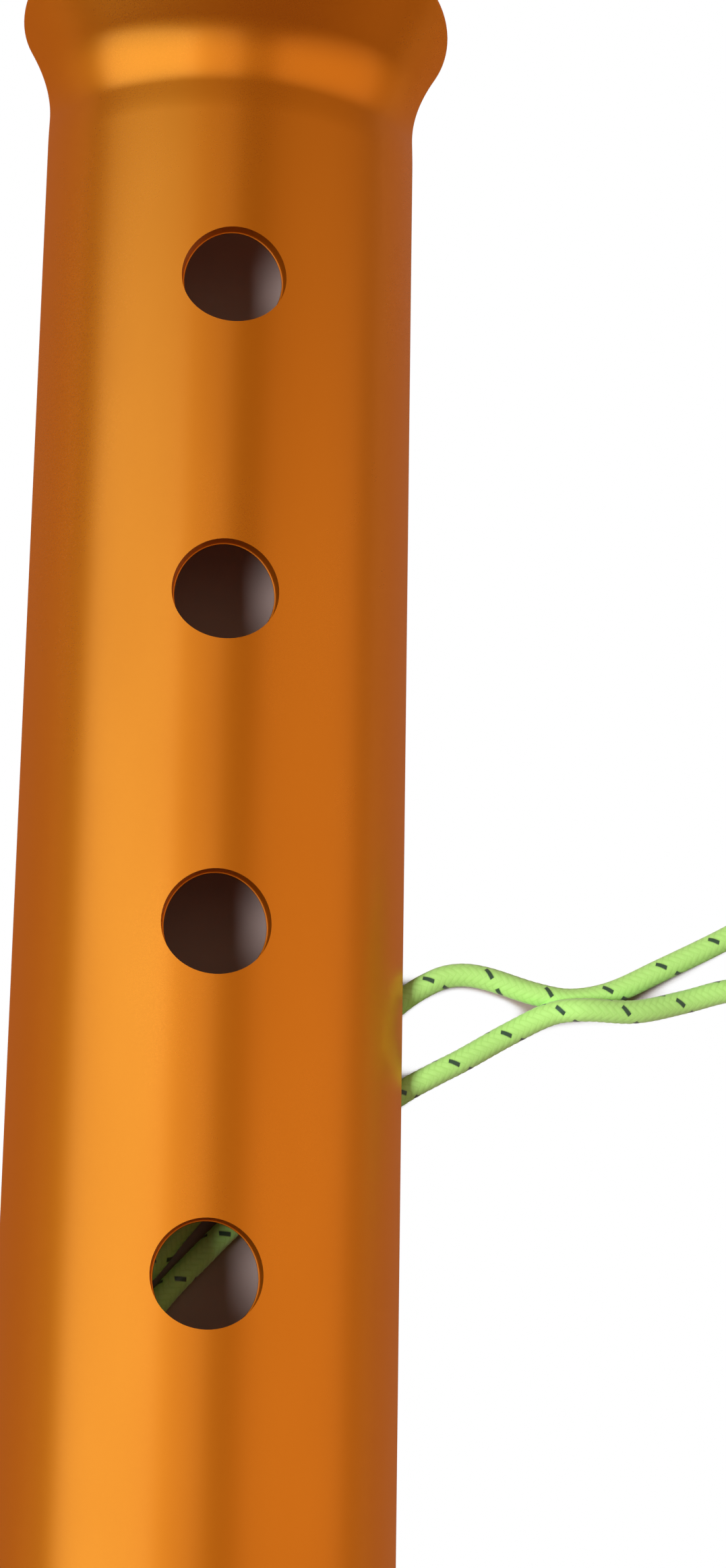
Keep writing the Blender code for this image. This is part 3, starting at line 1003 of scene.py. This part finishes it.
@dataclass(frozen=True)
class Softbox:
    """A soft rectangular light that faces a place on the peg's long axis.

    Its place, the aim along the peg and its size are in metres. A light either shows in gloss
    or lights what isn't glossy, but not both.
    """

    name: str
    place: Triple
    aim: float
    size: tuple[float, float]
    radiance: float
    tint: Colour = (1.0, 1.0, 1.0)
    gloss: bool = True

    def make(self) -> None:
        """Put the light into the scene, with its second side along the peg."""
        lamp = bpy.data.lights.new(self.name, "AREA")
        lamp.shape = "RECTANGLE"
        lamp.size, lamp.size_y = self.size
        lamp.color = self.tint
        lamp.energy = self.radiance * math.pi * self.size[0] * self.size[1]
        thing = bpy.data.objects.new(self.name, lamp)
        across, along, up = self.place
        pitch = math.atan2(self.aim - along, math.hypot(across, up))
        thing.location = self.place
        thing.rotation_euler = (pitch, math.atan2(across, up), 0.0)
        thing.visible_glossy = self.gloss
        thing.visible_diffuse = not self.gloss
        bpy.context.scene.collection.objects.link(thing)


SOFTBOXES = (
    Softbox("key_light", (-0.679, 0.12, 0.591), 0.12, (0.83, 1.01), 0.73, (1.0, 1.45, 2.6)),
    Softbox("key_shoulder", (-0.218, 0.12, 0.873), 0.12, (0.42, 1.01), 0.45, (1.0, 1.12, 1.5)),
    Softbox("side_light", (0.636, 0.14, 0.636), 0.14, (0.96, 0.97), 0.31, (1.0, 0.92, 1.0)),
    Softbox("fill_light", (-0.81, -0.24, 0.906), 0.09, (0.26, 0.5), 37.0, gloss=False),
)


@dataclass
class Studio:
    """The camera, the floor, the lights and the world.

    The camera's turns are in degrees. The room's colours go by direction: 0 is straight towards
    the tip, 0.5 is square to the peg, and 1 is straight towards the head.
    """

    image: tuple[int, int] = (1077, 2325)
    focal_pixels: float = 6257.2
    camera_place: Triple = (-36.7544 * MM, 2.8202 * MM, 251.4233 * MM)
    camera_turn: Triple = (19.7092, -10.8164, 0.8479)
    shift: float = 0.0
    sensor_height: float = 36.0
    clip_start: float = 0.01
    floor_size: float = 6.0
    backdrop_top: float = 0.02
    room: tuple[tuple[float, Triple], ...] = (
        (0.0, (0.24, 0.15, 0.12)), (0.28, (0.24, 0.15, 0.12)), (0.42, (0.42, 0.31, 0.22)),
        (0.62, (0.42, 0.31, 0.22)), (0.76, (0.27, 0.19, 0.13)))

    def camera(self) -> None:
        """The camera, fitted to the peg's outline and holes in the photograph."""
        lens = bpy.data.cameras.new("camera")
        lens.sensor_fit = "VERTICAL"
        lens.sensor_height = self.sensor_height
        lens.lens = self.focal_pixels * self.sensor_height / self.image[1]
        lens.clip_start = self.clip_start
        thing = bpy.data.objects.new("camera", lens)
        thing.location = Vector(self.camera_place) + Vector((self.shift, 0, 0))
        thing.rotation_euler = [math.radians(angle) for angle in self.camera_turn]
        bpy.context.scene.collection.objects.link(thing)
        bpy.context.scene.camera = thing

    def floor(self) -> None:
        """The floor, at the height that the peg and its cord lie on."""
        shape = bmesh.new()
        bmesh.ops.create_grid(shape, x_segments=1, y_segments=1, size=self.floor_size / 2)
        new_object("floor", shape, PaleFloor().make())

    def lights(self) -> None:
        """Three lights that only gloss shows, and a fill that it doesn't show."""
        for light in SOFTBOXES:
            light.make()

    def world(self) -> None:
        """A white backdrop, and the dimmer room above it that gloss shows and that fills shade."""
        world = bpy.data.worlds.new("studio")
        bpy.context.scene.world = world
        world.use_nodes = True
        tree = world.node_tree
        tree.nodes.clear()
        output = tree.nodes.new("ShaderNodeOutputWorld")
        background = tree.nodes.new("ShaderNodeBackground")
        path = tree.nodes.new("ShaderNodeLightPath")
        split = tree.nodes.new("ShaderNodeSeparateXYZ")
        tree.links.new(tree.nodes.new("ShaderNodeTexCoord").outputs["Generated"], split.inputs[0])

        room = tree.nodes.new("ShaderNodeValToRGB")
        room.color_ramp.interpolation = "EASE"
        tree.links.new(self.number(tree, "MULTIPLY_ADD", split.outputs[1], 0.5, 0.5),
                       room.inputs[0])
        stops = room.color_ramp.elements
        stops.remove(stops[1])
        stops[0].position, stops[0].color = self.room[0][0], rgb(*self.room[0][1])
        for place, colour in self.room[1:]:
            stops.new(place).color = rgb(*colour)

        low = self.number(tree, "LESS_THAN", split.outputs[2], self.backdrop_top)
        gloss = self.number(tree, "MULTIPLY", path.outputs["Is Glossy Ray"], low)
        clear = self.number(tree, "ADD", path.outputs["Is Camera Ray"],
                            path.outputs["Is Transmission Ray"])
        white = self.number(tree, "MAXIMUM", gloss, clear)
        mix = tree.nodes.new("ShaderNodeMix")
        mix.data_type = "RGBA"
        tree.links.new(white, mix.inputs["Factor"])
        tree.links.new(room.outputs[0], mix.inputs[6])
        mix.inputs[7].default_value = rgb(1.0, 1.0, 1.0)
        tree.links.new(mix.outputs[2], background.inputs["Color"])
        tree.links.new(background.outputs[0], output.inputs["Surface"])

    def number(self, tree: bpy.types.NodeTree, operation: str, first: bpy.types.NodeSocket,
               second: object, third: float = 0.0) -> bpy.types.NodeSocket:
        """Work out one number in the world's nodes.

        Args:
            tree: the world's nodes.
            operation: the Math node's operation.
            first: its first socket.
            second: its second socket or number.
            third: its third number.

        Returns:
            The socket that holds the result.
        """
        node = tree.nodes.new("ShaderNodeMath")
        node.operation = operation
        tree.links.new(first, node.inputs[0])
        if isinstance(second, bpy.types.NodeSocket):
            tree.links.new(second, node.inputs[1])
        else:
            node.inputs[1].default_value = second
        node.inputs[2].default_value = third
        return node.outputs[0]

    def build(self) -> None:
        """Make all of it but the camera, which was made first."""
        self.floor()
        self.lights()
        self.world()
        bpy.context.scene.view_settings.view_transform = "Standard"


def main() -> None:
    """Build the camera, the cord, the knot, the peg and the studio, in that order."""
    logging.basicConfig(level=logging.INFO, format="%(name)s: %(message)s")
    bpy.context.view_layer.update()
    channel = Channel()
    studio = Studio(shift=channel.shift)
    studio.camera()

    braid = ReflectiveBraid().make()
    cord = Cord(shift=channel.shift)
    knot = JoiningKnot(cord).build(braid)
    CordLoop(cord).build(braid, knot)

    peg = channel.build(AnodisedSheet().make())
    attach(peg, "root")
    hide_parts("peg_channel")
    LOG.info("%s: %d faces", peg.name, len(peg.data.polygons))

    studio.build()


if __name__ == "__main__":
    main()
